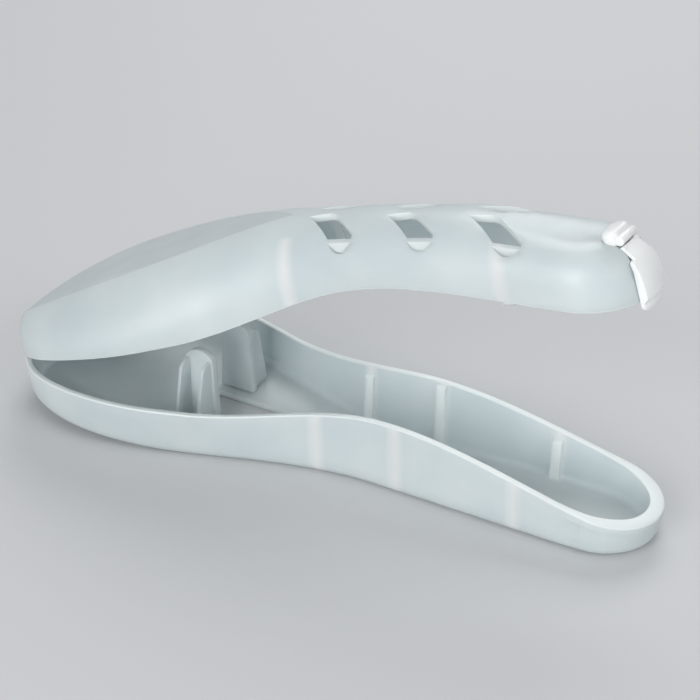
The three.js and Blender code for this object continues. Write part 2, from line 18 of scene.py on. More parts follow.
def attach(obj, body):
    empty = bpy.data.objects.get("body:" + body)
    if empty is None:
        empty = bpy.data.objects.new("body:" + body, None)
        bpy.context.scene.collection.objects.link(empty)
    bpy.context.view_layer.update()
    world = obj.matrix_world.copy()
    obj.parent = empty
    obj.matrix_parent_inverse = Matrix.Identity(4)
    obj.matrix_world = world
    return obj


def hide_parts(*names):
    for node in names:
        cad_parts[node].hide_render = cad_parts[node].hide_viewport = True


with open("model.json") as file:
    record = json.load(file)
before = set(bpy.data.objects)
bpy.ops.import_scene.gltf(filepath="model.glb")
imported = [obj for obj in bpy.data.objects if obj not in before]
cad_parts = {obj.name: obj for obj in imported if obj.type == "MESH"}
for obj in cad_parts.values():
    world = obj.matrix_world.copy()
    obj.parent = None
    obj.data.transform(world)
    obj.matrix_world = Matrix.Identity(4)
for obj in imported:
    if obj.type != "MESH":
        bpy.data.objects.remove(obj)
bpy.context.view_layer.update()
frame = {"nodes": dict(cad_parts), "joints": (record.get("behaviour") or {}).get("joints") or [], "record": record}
joint = {j["name"]: j for j in frame["joints"]}

# %% [markdown]
# Units and places
# The frame is in metres, with its origin in the middle of the sole. Drawing there would fill
# the file with small fractions, so the shells are drawn in millimetres, shut, with the hinge
# end at zero. One function then carries points to the frame, and one turns the finished lid
# about the hinge by the angle at which it stands open.

# %% Carry millimetres to the frame
mm = 0.001
rest_at = 107.0
open_angle = math.radians(-joint["lid_hinge"]["range_deg"][0])
hinge = Vector(joint["lid_hinge"]["pos_m"])


def lid_turn(angle):
    """The lid's turn about the hinge, opening when the angle is positive."""
    turn = Matrix.Rotation(-angle, 4, "Y")
    return Matrix.Translation(hinge) @ turn @ Matrix.Translation(-hinge)


def to_frame(points):
    """Millimetres from the hinge end to metres from the frame's origin."""
    return (np.asarray(points, float) - (rest_at, 0, 0)) * mm


print("the lid stands open by", round(math.degrees(open_angle), 1), "degrees")

# %% [markdown]
# Plan outline
# Seen from above the case is a rounded head that narrows through a neck into a slim grip.
# It could be a Bezier curve object, but plain points let both shells share one outline, so
# that their rims meet. Two quarter arcs and two smooth curves between them draw one half, and
# mirroring gives the other. Each point keeps the direction that leads inwards, for walls.

# %% Draw half of the plan outline
case_length = 188.0
hinge_flat = 12.0
head_at = 30.0
head_half = 34.2
head_pull = 25.0
grip_length = 76.0
neck_at = case_length - grip_length
neck_half = 14.75
neck_pull = 29.0
grip_pull = 20.0
latch_radius = 15.4
latch_at = case_length - latch_radius
outline_steps = (16, 26, 16, 18)


def arc(cx, cy, rx, ry, start, end, steps):
    """Points on an elliptic arc about a centre, from one angle to another."""
    t = np.linspace(start, end, steps + 1)
    return np.column_stack([cx + rx * np.cos(t), cy + ry * np.sin(t)])


def curve(a, b, c, d, steps):
    """Points on a smooth curve from a to d that b and c pull on."""
    t = np.linspace(0, 1, steps + 1)[:, None]
    a, b, c, d = (np.array(p, float) for p in (a, b, c, d))
    s = 1 - t
    return s**3 * a + 3 * s**2 * t * b + 3 * s * t**2 * c + t**3 * d


def plan_outline():
    """The far half of the outline, from the hinge end to the latch end."""
    head, shoulder, grip, nose = outline_steps
    parts = [
        arc(head_at, hinge_flat, head_at, head_half - hinge_flat, math.pi, math.pi / 2, head),
        curve(
            (head_at, head_half),
            (head_at + head_pull, head_half),
            (neck_at - neck_pull, neck_half),
            (neck_at, neck_half),
            shoulder,
        ),
        curve(
            (neck_at, neck_half),
            (neck_at + grip_pull, neck_half),
            (latch_at - grip_pull, latch_radius),
            (latch_at, latch_radius),
            grip,
        ),
        arc(latch_at, 0, latch_radius, latch_radius, math.pi / 2, 0, nose),
    ]
    return np.vstack([parts[0]] + [p[1:] for p in parts[1:]])


def inward(points):
    """The direction that leads into the case at each point."""
    way = np.gradient(points, axis=0)
    way[0] = (0, 1)
    way[-1] = (0, -1)
    way /= np.linalg.norm(way, axis=1)[:, None]
    return np.column_stack([way[:, 1], -way[:, 0]])


outline = plan_outline()
leads_in = inward(outline)
print("half outline:", len(outline), "points, widest", outline[:, 1].max(), "mm")

# %% [markdown]
# Heights along the case
# The rim where both halves meet starts low at the hinge, swells a little over the head,
# climbs to the grip and drops at the latch end. Heights could be typed for every ring; an
# easing curve between a few of them needs fewer numbers and has no kinks. The lid's crown
# line is read from given shares of its length and height, joined smoothly.

# %% Give the rim, the sole and the wall their heights
rim_head = 13.6
rim_swell = 0.8
rim_swell_at = 26.0
rim_swell_end = 52.0
rim_peak_past = 5.0
rim_peak_at = neck_at + rim_peak_past
rim_rise_length = 55.0
rim_rise_at = rim_peak_at - rim_rise_length
rim_peak = 20.8
rim_latch = 8.6
rim_end_slope_share = -0.14
rim_gap = 0.3
sole_hinge_rise = 3.4
sole_hinge_at = 8.0
sole_flat_from = 62.0
sole_latch_run = 28.0
sole_flat_to = case_length - sole_latch_run
sole_latch_rise = 0.4
wall = 1.8
latch_wall = 3.8
latch_wall_run = 23.0
latch_wall_from = case_length - latch_wall_run
latch_wall_full = 6.0
latch_wall_to = case_length - latch_wall_full


def ease(start, end, at):
    """Rises softly from 0 at start to 1 at end."""
    t = np.clip((at - start) / (end - start), 0, 1)
    return t * t * (3 - 2 * t)


def between(a, b, share):
    """The value that lies this share of the way from a to b."""
    return a + (b - a) * share


def rim_at(x):
    """Height of the tray's rim."""
    swell = rim_swell * ease(0, rim_swell_at, x) * (1 - ease(rim_swell_at, rim_swell_end, x))
    rise = between(rim_head, rim_peak, ease(rim_rise_at, rim_peak_at, x)) + swell
    span = case_length - rim_peak_at
    t = (x - rim_peak_at) / span
    fall = between(rim_peak, rim_latch, ease(rim_peak_at, case_length, x))
    return np.where(x < rim_peak_at, rise, fall + rim_end_slope_share * span * t * t * (t - 1))


def lid_rim_at(x):
    """Height of the shut lid's rim, a hair above the tray's."""
    return rim_at(x) + rim_gap


def sole_at(x):
    """Height of the tray's underside."""
    rise = sole_hinge_rise * (1 - ease(sole_hinge_at, sole_flat_from, x))
    return rise + sole_latch_rise * ease(sole_flat_to, case_length, x)


def wall_at(x):
    """Thickness of the walls, greater round the latch end."""
    return between(wall, latch_wall, ease(latch_wall_from, latch_wall_to, x))


rim_marks = np.array([0, rim_swell_at, rim_peak_at, case_length])
print("rim stands", rim_at(rim_marks).round(1), "mm high at", rim_marks, "mm")

# %% Draw the lid's crown line
crown_height = 38.0
crown_shares = (
    (0, 0.592), (0.053, 0.71), (0.16, 0.816), (0.32, 0.925), (0.49, 1),
    (0.69, 0.934), (0.8, 0.865), (0.9, 0.685), (0.975, 0.602),
)


def crown_at(x):
    """Height of the lid's middle line: a smooth curve through the crown shares."""
    knots = np.array(crown_shares) * (case_length, crown_height)
    slopes = np.empty(len(knots))
    slopes[1:-1] = (knots[2:, 1] - knots[:-2, 1]) / (knots[2:, 0] - knots[:-2, 0])
    slopes[0] = (knots[1, 1] - knots[0, 1]) / (knots[1, 0] - knots[0, 0])
    slopes[-1] = (knots[-1, 1] - knots[-2, 1]) / (knots[-1, 0] - knots[-2, 0])
    i = np.clip(np.searchsorted(knots[:, 0], x, side="right") - 1, 0, len(knots) - 2)
    step = knots[i + 1, 0] - knots[i, 0]
    t = (x - knots[i, 0]) / step
    lean = slopes[i] * t * (1 - t) ** 2 - slopes[i + 1] * t * t * (1 - t)
    return between(knots[i, 1], knots[i + 1, 1], t * t * (3 - 2 * t)) + step * lean


def half_width_at(x):
    """Half the width of the case."""
    return np.interp(x, outline[:, 0], outline[:, 1])


print("crown over the neck:", round(float(crown_at(np.float64(neck_at))), 1), "mm")

# %% [markdown]
# From rings to a closed shell
# A loft is a stack of closed rings joined by quads, with a grid of quads closing each end.
# The tray's stack starts under its sole, climbs the outside, turns over the rim and goes down
# the inside, so that one closed skin has both faces of the wall. A thin surface with a
# Solidify modifier would be quicker, but can't thicken the wall at the latch or round the
# rim. Faces on a rim get the second material, whose paler tint is a painted glow for the light
# a cut edge of milky plastic carries.

# %% Make a ring and the rows that close it
def loop_of(half):
    """A whole ring from its far half, by mirroring."""
    near = half * (1, -1, 1)
    return np.vstack([near, half[:-1][::-1]])


def ring(depth, height_of):
    """A ring set in from the outline by depth, at a height found from its own x."""
    points = outline + leads_in * np.reshape(depth, (-1, 1))
    points[:, 1] = np.maximum(points[:, 1], 0)
    return np.column_stack([points, height_of(points[:, 0])])


def cap_rows(half, columns, height_of=None):
    """Rows of points from the near side to the far side of one ring."""
    share = np.linspace(-1, 1, columns + 1)
    rows = np.repeat(half[:, None, :], columns + 1, axis=1)
    rows[:, :, 1] = half[:, None, 1] * share
    if height_of is not None:
        rows[:, 1:-1, 2] = height_of(rows[:, 1:-1, 0], rows[:, 1:-1, 1])
    return rows


print("a ring of the shell has", len(loop_of(ring(0, rim_at))), "points")

# %% Join rings and caps into a mesh
wall_face = 0
edge_face = 1
panel_face = 2
merge_distance = 0.000002


def skin(rings, caps, edge_from=0, edge_to=0, last_cap=wall_face):
    """Vertices, faces and face kinds of a closed stack of rings."""
    loops = [loop_of(r) for r in rings]
    count = len(loops[0])
    points = [p for loop in loops for p in loop]
    faces = []
    kinds = []
    for k in range(len(loops) - 1):
        kind = edge_face if edge_from <= k < edge_to else wall_face
        for i in range(count):
            j = (i + 1) % count
            faces.append((k * count + i, k * count + j, (k + 1) * count + j, (k + 1) * count + i))
            kinds.append(kind)
    for number, rows in enumerate(caps):
        kind = last_cap if number == len(caps) - 1 else wall_face
        start = len(points)
        tall, wide = rows.shape[:2]
        points.extend(rows.reshape(-1, 3))
        for i in range(tall - 1):
            for j in range(wide - 1):
                a = start + i * wide + j
                faces.append((a, a + 1, a + wide + 1, a + wide))
                kinds.append(kind)
    return np.array(points), faces, kinds


def new_object(name, points, faces, kinds=None):
    """An object from points in millimetres, with doubled corners merged."""
    mesh = bpy.data.meshes.new(name)
    mesh.from_pydata([tuple(p) for p in to_frame(points)], [], faces)
    if kinds is not None:
        mesh.polygons.foreach_set("material_index", kinds)
    work = bmesh.new()
    work.from_mesh(mesh)
    bmesh.ops.remove_doubles(work, verts=work.verts, dist=merge_distance)
    bmesh.ops.dissolve_degenerate(work, edges=work.edges, dist=merge_distance)
    bmesh.ops.recalc_face_normals(work, faces=work.faces)
    work.to_mesh(mesh)
    work.free()
    made = bpy.data.objects.new(name, mesh)
    bpy.context.collection.objects.link(made)
    return made


print("face kinds: wall", wall_face, "edge", edge_face, "panel", panel_face)

# %% [markdown]
# Cutters and added ribs
# Openings and ribs are simple prisms: a flat shape carried along one axis. Subtracting one
# cuts a clean opening, and its walls keep the edge finish with its painted glow. Adding one
# fuses a rib to the wall, so that no hidden skin is left inside the plastic to catch the light.

# %% Make a prism
def prism(name, shape, low, high, axis="z"):
    """A flat shape carried from low to high along x, y or z, in millimetres."""
    shape = np.asarray(shape, float)
    ends = []
    for at in (low, high):
        level = np.full(len(shape), float(at))
        if axis == "z":
            ends.append(np.column_stack([shape, level]))
        elif axis == "x":
            ends.append(np.column_stack([level, shape]))
        else:
            ends.append(np.column_stack([shape[:, 0], level, shape[:, 1]]))
    count = len(shape)
    faces = [tuple(range(count)), tuple(range(2 * count - 1, count - 1, -1))]
    for i in range(count):
        j = (i + 1) % count
        faces.append((i, i + count, j + count, j))
    return new_object(name, np.vstack(ends), faces, [edge_face] * len(faces))


def block(name, x0, x1, y0, y1, z0, z1):
    """A plain box, in millimetres."""
    return prism(name, [(x0, y0), (x1, y0), (x1, y1), (x0, y1)], z0, z1)


print("a prism has one face for each side of its shape, and two ends")

# %% Join, cut, bevel and shade
smooth_limit = math.radians(25)
bevel_limit = math.radians(28)
bevel_segments = 2


def apply_modifiers(thing):
    """Turns what the modifiers make of an object into its own mesh."""
    bpy.context.view_layer.update()
    graph = bpy.context.evaluated_depsgraph_get()
    fresh = bpy.data.meshes.new_from_object(thing.evaluated_get(graph))
    thing.modifiers.clear()
    thing.data = fresh


def combine(body, tool, how):
    """Joins, cuts or trims a body by a tool, which is used up."""
    step = body.modifiers.new(how, "BOOLEAN")
    step.operation = how
    step.solver = "EXACT"
    step.object = tool
    apply_modifiers(body)
    bpy.data.objects.remove(tool)


def soften_edges(thing, width):
    """A narrow round bevel, in millimetres, on every edge that turns sharply."""
    edge = thing.modifiers.new("soften", "BEVEL")
    edge.width = width * mm
    edge.segments = bevel_segments
    edge.limit_method = "ANGLE"
    edge.angle_limit = bevel_limit
    # The bevel's faces take the edge finish, whose paler tint is a painted glow.
    edge.material = edge_face
    apply_modifiers(thing)


def shade_softly(thing):
    """Smooth shading, apart from sharp folds."""
    thing.data.polygons.foreach_set("use_smooth", [True] * len(thing.data.polygons))
    thing.data.set_sharp_from_angle(angle=smooth_limit)


print("edges that turn by more than", round(math.degrees(bevel_limit)), "degrees get a bevel")

# %% [markdown]
# The tray
# The lower shell is a shallow trough with slightly leaning walls. Its underside is flat in
# the middle and lifts at both ends, and round the latch end its rim stands out as a small
# catch lip. A bevel on the rim would work too, but rings laid on a quarter circle follow its
# curve without breaks. A moulded edge is never quite sharp.

# %% Loft the tray
rim_round = 0.4
rim_steps = 5
tray_draft = 0.8
tray_fillet = 2.5
floor_thick = 1.8
floor_fillet = 2.0
fillet_steps = 6
lip_tall = 2.2
lip_step = 0.5
lip_depth = 0.7
lip_run = 23.0
lip_from = case_length - lip_run
lip_full = 10.0
lip_to = case_length - lip_full
quarter = np.linspace(0, math.pi / 2, rim_steps + 1)
fillet = np.linspace(0, math.pi / 2, fillet_steps + 1)


def tray_rings():
    """The tray's rings from the sole over the rim to the floor, and where the rim is."""
    x = outline[:, 0]
    rings = []
    for turn in fillet:
        set_in = tray_draft + tray_fillet * (1 - math.sin(turn))
        lift = tray_fillet * (1 - math.cos(turn))
        rings.append(ring(np.full(len(x), set_in), lambda at, up=lift: sole_at(at) + up))
    lip_foot = lip_tall + lip_step
    rings.append(ring(lip_depth * ease(lip_from, lip_to, x), lambda at: rim_at(at) - lip_foot))
    rings.append(ring(0 * x, lambda at: rim_at(at) - lip_tall))
    first = len(rings)
    for turn in quarter:
        drop = rim_round * (1 - math.sin(turn))
        rings.append(ring(0 * x + rim_round * (1 - math.cos(turn)), lambda at, d=drop: rim_at(at) - d))
    for turn in quarter:
        drop = rim_round * (1 - math.cos(turn))
        set_in = wall_at(x) - rim_round * (1 - math.sin(turn))
        rings.append(ring(set_in, lambda at, d=drop: rim_at(at) - d))
    last = len(rings) - 1
    for turn in fillet[::-1]:
        set_in = wall_at(x) + tray_draft + floor_fillet * (1 - math.sin(turn))
        lift = floor_thick + floor_fillet * (1 - math.cos(turn))
        rings.append(ring(set_in, lambda at, up=lift: sole_at(at) + up))
    return rings, first, last


rings, rim_first, rim_last = tray_rings()
caps = [cap_rows(rings[0], 1), cap_rows(rings[-1], 1)]
tray = new_object("tray", *skin(rings, caps, rim_first, rim_last))
print("tray:", len(tray.data.polygons), "faces before ribs and window")

# %% [markdown]
# Tray ribs and drain window
# Three upright ribs on each wall stiffen it and keep the contents from rattling, and a long
# rounded window in the floor lets water run out. Ribs could be loose boxes pushed into the
# wall, but clear plastic would show their buried faces. So each is drawn as seen from the
# latch end, carried along by its width and fused to the wall by a boolean.

# %% Add the tray's ribs
rib_wide = 2.6
rib_proud = 1.5
rib_neck_before = 15.5
rib_neck_at = neck_at - rib_neck_before
rib_grip_past = 7.5
rib_grip_at = neck_at + rib_grip_past
rib_latch_back = 34.0
rib_latch_at = case_length - rib_latch_back
rib_drop = 2.4
rib_grip_drop = 0.8


def add_tray_rib(at, drop, side):
    """A rib with a slanted top, fused to one wall."""
    outer = half_width_at(at) - wall / 2
    inner = half_width_at(at) - wall - rib_proud
    low = float(sole_at(at)) + floor_thick / 2
    high = float(rim_at(at)) - drop
    shape = [
        (side * (outer - tray_draft), low),
        (side * outer, high),
        (side * (inner + rib_proud / 2), high),
        (side * inner, high - rib_proud / 2),
        (side * (inner - tray_draft), low),
    ]
    combine(tray, prism("rib", shape, at - rib_wide / 2, at + rib_wide / 2, "x"), "UNION")


for side in (-1, 1):
    add_tray_rib(rib_neck_at, rib_drop, side)
    add_tray_rib(rib_grip_at, rib_grip_drop, side)
    add_tray_rib(rib_latch_at, rib_drop, side)
print("tray:", len(tray.data.polygons), "faces with ribs")

# %% Cut the drain window
window_before = 32.0
window_to = neck_at - window_before
window_length = 30.0
window_from = window_to - window_length
window_half = 5.5
window_corner = 2.0
corner_steps = 8
overrun = 2.0


def oblong(x0, x1, half, corner):
    """A rounded oblong in plan."""
    quarter_turn = math.pi / 2
    corners = (
        (x1 - corner, -half + corner, -quarter_turn),
        (x1 - corner, half - corner, 0),
        (x0 + corner, half - corner, quarter_turn),
        (x0 + corner, -half + corner, 2 * quarter_turn),
    )
    return np.vstack([
        arc(cx, cy, corner, corner, start, start + quarter_turn, corner_steps)
        for cx, cy, start in corners
    ])


window = oblong(window_from, window_to, window_half, window_corner)
combine(tray, prism("window", window, -overrun, rim_head), "DIFFERENCE")
print("tray:", len(tray.data.polygons), "faces with ribs and window")

# %% [markdown]
# The lid's section
# Each point of the rim climbs to a matching point on top. Over the head that is the edge of
# a flat teardrop panel, which meets the side in a clear fold. Past the panel both sides
# meet in a rounded crown. A box could be pulled into this form by hand, but then the fold
# would wander. A superellipse draws the side instead: steep at the rim, flatter on top, and
# cut short along the panel so that the fold stays crisp until it fades at the tip.

# %% Lay out the teardrop panel
panel_front_at = 1.0
panel_wide_at = 14.0
panel_half = 23.0
panel_tip_before = 20.0
panel_tip_at = neck_at - panel_tip_before
panel_mate_past = 2.0
panel_mate_at = panel_tip_at + panel_mate_past
panel_sag = 1.45
panel_full_share = 1.9
panel_tip_share = 0.85
nose_run = 38.0
nose_from = case_length - nose_run
nose_reach = 12.0


def panel_half_at(x):
    """Half the panel's width: a teardrop that ends in a tip."""
    u = np.clip((x - panel_wide_at) / (panel_tip_at - panel_wide_at), 0, 1)
    return panel_half * (1 - u**panel_full_share) ** panel_tip_share


def top_of_outline():
    """Where each point of the outline ends on top of the lid."""
    x = outline[:, 0]
    turn = np.arccos(np.clip(1 - x / head_at, 0, 1))
    front = np.column_stack([
        between(panel_front_at, panel_wide_at, 1 - np.cos(turn)),
        between(hinge_flat, panel_half, np.sin(turn)),
    ])
    run = between(panel_wide_at, panel_tip_at, (x - head_at) / (panel_mate_at - head_at))
    middle = np.column_stack([run, panel_half_at(run)])
    share = np.maximum(0, (x - nose_from) / nose_run)
    back_by = between(panel_mate_past, nose_reach, share**2)
    back = np.column_stack([x - back_by, 0 * x])
    on_head = (x <= head_at)[:, None]
    on_panel = (x < panel_mate_at)[:, None]
    return np.where(on_head, front, np.where(on_panel, middle, back))


def panel_height(x, y):
    """Height of the lid's top, which sags a little to the sides."""
    return crown_at(x) - panel_sag * (y / panel_half) ** 2


tops = top_of_outline()
print("panel runs from", panel_front_at, "to", panel_tip_at, "mm, half width", panel_half, "mm")

# %% Raise the lid's side from the rim to the top
crease_run = 32.0
crease_from = panel_tip_at - crease_run
crease_turn = 58.0
side_share = 2.5
nose_share = 3.6
nose_full = 8.0
nose_to = case_length - nose_full


def lid_ring(depth, drop=0, crease=0, share=0, lift=0):
    """A ring that has climbed this share of the side; depth, drop and crease set it in."""
    foot = ring(depth, lid_rim_at)
    head = tops + leads_in * crease
    head[:, 1] = np.where(tops[:, 1] > 0, np.maximum(head[:, 1], 0), 0)
    high = panel_height(head[:, 0], head[:, 1]) - drop
    full = np.radians(between(crease_turn, 90, ease(crease_from, panel_tip_at, tops[:, 0])))
    power = 2 / between(side_share, nose_share, ease(nose_from, nose_to, outline[:, 0]))
    out = (1 - np.cos(full * share) ** power) / (1 - np.cos(full) ** power)
    up = np.sin(full * share) ** power / np.sin(full) ** power
    return np.column_stack([
        between(foot[:, 0], head[:, 0], out),
        between(foot[:, 1], head[:, 1], out),
        between(foot[:, 2], high, up) + lift,
    ])


halfway = lid_ring(0, share=1 / 2)
print("halfway up, the side reaches", halfway[:, 2].max().round(1), "mm")

# %% [markdown]
# The lid
# The upper shell is a hood with a round nose. As with the tray, one skin goes down the
# inside, round the rim and up the outside. The same rings, drawn half a wall in and closed
# by a flat bottom, give a filled core. It trims what is added inside the lid, which is surer
# than fitting each part to the curved wall by eye.

# %% Loft the lid
lid_top_wall = 1.8
crease_inset = 1.2
rim_crowding = 1.3
side_steps = 18
panel_columns = 12


def side_stack(depth, drop=0, crease=0):
    """The rings of one side of the wall, closer together near the rim."""
    shares = [(k / side_steps) ** rim_crowding for k in range(1, side_steps + 1)]
    return [lid_ring(depth, drop, crease, share) for share in shares]


def lid_rings():
    """The lid's rings from the inner top round the rim to the outer top."""
    x = outline[:, 0]
    rings = side_stack(wall_at(x), lid_top_wall, crease_inset)[::-1]
    first = len(rings)
    for turn in quarter:
        set_in = wall_at(x) - rim_round * (1 - math.cos(turn))
        rings.append(lid_ring(set_in, lift=rim_round * (1 - math.sin(turn))))
    for turn in quarter:
        set_in = 0 * x + rim_round * (1 - math.sin(turn))
        rings.append(lid_ring(set_in, lift=rim_round * (1 - math.cos(turn))))
    last = len(rings) - 1
    return rings + side_stack(0 * x), first, last


def panel_rows(half, drop):
    """Rows that close the top between both sides of a ring."""
    return cap_rows(half, panel_columns, lambda x, y: panel_height(x, y) - drop)


rings, rim_first, rim_last = lid_rings()
caps = [panel_rows(rings[0], lid_top_wall), panel_rows(rings[-1], 0)]
lid = new_object("lid", *skin(rings, caps, rim_first, rim_last, panel_face))
print("lid:", len(lid.data.polygons), "faces before its openings")


# %% Make the core that trims what is added
def lid_core():
    """A filled copy of the lid's inside that ends halfway through the wall."""
    depth = wall_at(outline[:, 0]) / 2
    stack = [lid_ring(depth)] + side_stack(depth, lid_top_wall / 2, crease_inset / 2)
    caps = [cap_rows(stack[0], 1), panel_rows(stack[-1], lid_top_wall / 2)]
    return new_object("lid_core", *skin(stack, caps))


print("the core ends", wall / 2, "mm inside the wall")

# %% [markdown]
# Fins, posts and the clasp's seat
# Inside the lid a fin on each side stiffens the shoulder, a post near the latch dips into
# the tray to line both halves up, and a thick boss in the nose holds the clasp. Fins and boss
# start as plain blocks that are too large, and the core trims them. The posts reach out of
# the lid, so they are drawn in their own chamfered shape.

# %% Add the fins and the boss
seat_gap = 0.3
fin_wide = 2.6
fin_deep = 2.0
fin_lift = 0.5
anchor_back = 8.1
anchor_from = case_length - anchor_back
anchor_long = 4.2
anchor_to = anchor_from + anchor_long
anchor_half = 4.7
anchor_proud = 3.4
anchor_high = crown_height * crown_shares[-1][1] + anchor_proud
anchor_tall = 3.7
anchor_low = anchor_high - anchor_tall
anchor_corner = 2.1
boss_wall = 1.8
boss_deep = 5.5


def lid_fin(side):
    """A block across one shoulder, too tall and too wide."""
    outer = half_width_at(rib_neck_at)
    inner = outer - wall - fin_deep
    low = float(lid_rim_at(rib_neck_at)) + fin_lift
    near, far = sorted((side * inner, side * outer))
    start = rib_neck_at - fin_wide / 2
    return block("fin", start, start + fin_wide, near, far, low, crown_height)


def lid_boss():
    """A block round the clasp's seat, as high as the clasp."""
    half = anchor_half + seat_gap + boss_wall
    start = anchor_from - seat_gap - boss_wall
    return block("boss", start, case_length, -half, half, anchor_low - boss_deep, anchor_high)


for inner_piece in (lid_fin(-1), lid_fin(1), lid_boss()):
    combine(inner_piece, lid_core(), "INTERSECT")
    combine(lid, inner_piece, "UNION")
print("lid:", len(lid.data.polygons), "faces with fins and boss")

# %% Add the posts
post_back = 31.0
post_at = case_length - post_back
post_wide = 2.6
post_deep = 2.4
post_tall = 7.0
post_nose = 2.0
post_chamfer = 0.8


def lid_post(side):
    """A chamfered post that dips below the lid's rim."""
    half = half_width_at(post_at)
    face = half - wall - seat_gap
    rim = float(lid_rim_at(post_at))
    shape = [
        (side * (half - wall / 2), rim + post_tall),
        (side * (half - wall / 2), rim + fin_lift),
        (side * face, rim + fin_lift),
        (side * face, rim - post_nose + post_chamfer),
        (side * (face - post_chamfer), rim - post_nose),
        (side * (face - post_deep + post_chamfer), rim - post_nose),
        (side * (face - post_deep), rim - post_nose + post_chamfer),
        (side * (face - post_deep), rim + post_tall),
    ]
    return prism("post", shape, post_at - post_wide / 2, post_at + post_wide / 2, "x")


for side in (-1, 1):
    combine(lid, lid_post(side), "UNION")
print("lid:", len(lid.data.polygons), "faces with posts")

# %% [markdown]
# Vent slots and the clasp's pocket
# Three slanted slots on each shoulder of the grip let the inside dry. Below the foot of each,
# past a thin web, a small half moon is sunk into the side wall. The pocket and the notch
# behind it take the clasp. A knife cut would have to follow the curved wall; a flat outline
# pushed straight down leaves the true curved edge by itself.

# %% Draw a slot and its half moon
slot_before = 12.0
slot_first_at = neck_at - slot_before
slot_pitch = 23.2
slot_count = 3
slot_wide = 7.0
slot_lean = 9.3
slot_top = 1.2
slot_skew = 1.6
slot_foot = 10.8
slot_web = 0.7
slot_moon = 1.5
slot_floor = 1.2
slot_corner = 1.4


def bend(a, b, c):
    """A soft curve from a to c that leans towards b."""
    t = np.linspace(0, 1, corner_steps + 1)[:, None]
    a, b, c = (np.array(p, float) for p in (a, b, c))
    return (1 - t) ** 2 * a + 2 * (1 - t) * t * b + t**2 * c


def slot_shape(x, side):
    """Slanted from the middle line to a straight foot."""
    top = side * slot_top
    foot = side * slot_foot
    far = x + slot_lean + slot_wide
    corner = (x + slot_wide, top)
    before = (x + slot_wide - slot_corner, top)
    after = (x + slot_wide + slot_corner, top + side * slot_corner)
    return np.vstack([
        [(x, top + side * slot_skew)],
        bend(before, corner, after),
        [(far, foot - side * slot_corner), (far, foot), (far - slot_wide, foot)],
    ])


def moon_shape(x, side):
    """A half moon beyond the thin web at the slot's foot."""
    left = x + slot_lean
    start = side * (slot_foot + slot_web)
    belly = (left + slot_wide / 2, start + side * 2 * slot_moon)
    return bend((left, start), belly, (left + slot_wide, start))


def inner_face_at(x):
    """Height of the lid's inner face beside a moon."""
    reach = (slot_foot + slot_web) / (half_width_at(x) - wall)
    high = float(crown_at(x)) - lid_top_wall
    return between(float(lid_rim_at(x)), high, (1 - reach**side_share) ** (1 / side_share))


print("a slot is", slot_wide, "mm wide and leans by", slot_lean, "mm")

# %% Cut the slots and half moons
above = crown_height + overrun
for k in range(slot_count):
    x = slot_first_at + k * slot_pitch
    face = inner_face_at(x + slot_lean + slot_wide / 2)
    for side in (-1, 1):
        combine(lid, prism("slot", slot_shape(x, side), face - overrun, above), "DIFFERENCE")
        combine(lid, prism("moon", moon_shape(x, side), face + slot_floor, above), "DIFFERENCE")
print("lid:", len(lid.data.polygons), "faces with slots")

# %% Cut the clasp's pocket and notch
notch_deep = 2.6
root_back = 3.1
root_x = case_length - root_back
root_drop = 0.9
root_z = anchor_low - root_drop
root_radius = 0.8
neck_half_wide = 4.2
pocket = oblong(
    anchor_from - seat_gap,
    anchor_to + seat_gap,
    anchor_half + seat_gap,
    anchor_corner + seat_gap,
)
combine(lid, prism("pocket", pocket, anchor_low - seat_gap, above), "DIFFERENCE")
notch_from = root_x - root_radius - seat_gap
notch_half = neck_half_wide + seat_gap
notch_low = root_z - notch_deep
notch = block("notch", notch_from, case_length, -notch_half, notch_half, notch_low, anchor_high)
combine(lid, notch, "DIFFERENCE")
print("lid:", len(lid.data.polygons), "faces when cut")

# %% [markdown]
# Neck cradle
# Two uprights hold the neck of what lies in the case. Each is a thin arched web, kept
# straight by a tapered flange along either edge. The flanges face the walls, so the side
# that touches the contents stays smooth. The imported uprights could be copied, but an arch
# with more steps takes an even bevel, and that bright edge is what the eye finds first.

# %% Build the cradle uprights
cradle_past = 5.5
cradle_at = window_from + cradle_past
cradle_gap_half = 8.2
cradle_thick = 2.1
cradle_top = 23.8
cradle_arch = 3.6
cradle_half = 4.5
cradle_foot_half = 5.4
flange_wide = 1.0
flange_inset = 0.5
flange_foot = 7.8
flange_shoulder = 4.2
flange_drop = 2.7
flange_round = 3.2
arch_steps = 20


def cradle_upright(name, side):
    """An arched web with two flanges on its outer face."""
    low = float(sole_at(cradle_at - cradle_foot_half)) + floor_thick + seat_gap
    shoulder = cradle_top - cradle_arch
    web = np.vstack([
        [(cradle_at + cradle_foot_half, low)],
        arc(cradle_at, shoulder, cradle_half, cradle_arch, 0, math.pi, arch_steps),
        [(cradle_at - cradle_foot_half, low)],
    ])
    inner = side * cradle_gap_half
    outer = side * (cradle_gap_half + cradle_thick)
    upright = prism(name, web, min(inner, outer), max(inner, outer), "y")
    root = outer - side * cradle_thick / 2
    top = cradle_top - flange_drop
    edge = outer + side * flange_shoulder
    for hand in (-1, 1):
        x = cradle_at + hand * (cradle_half - flange_inset - flange_wide / 2)
        flange = np.vstack([
            [(root, low), (outer + side * flange_foot, low)],
            bend((edge, top - flange_round), (edge, top), (root, top)),
        ])
        carried = prism("flange", flange, x - flange_wide / 2, x + flange_wide / 2, "x")
        combine(upright, carried, "UNION")
    upright.data.polygons.foreach_set("material_index", [wall_face] * len(upright.data.polygons))
    return upright


uprights = {
    "neck_cradle_near": cradle_upright("near_upright", -1),
    "neck_cradle_far": cradle_upright("far_upright", 1),
}
print("cradle stands at", cradle_at, "mm, its webs", 2 * cradle_gap_half, "mm apart")

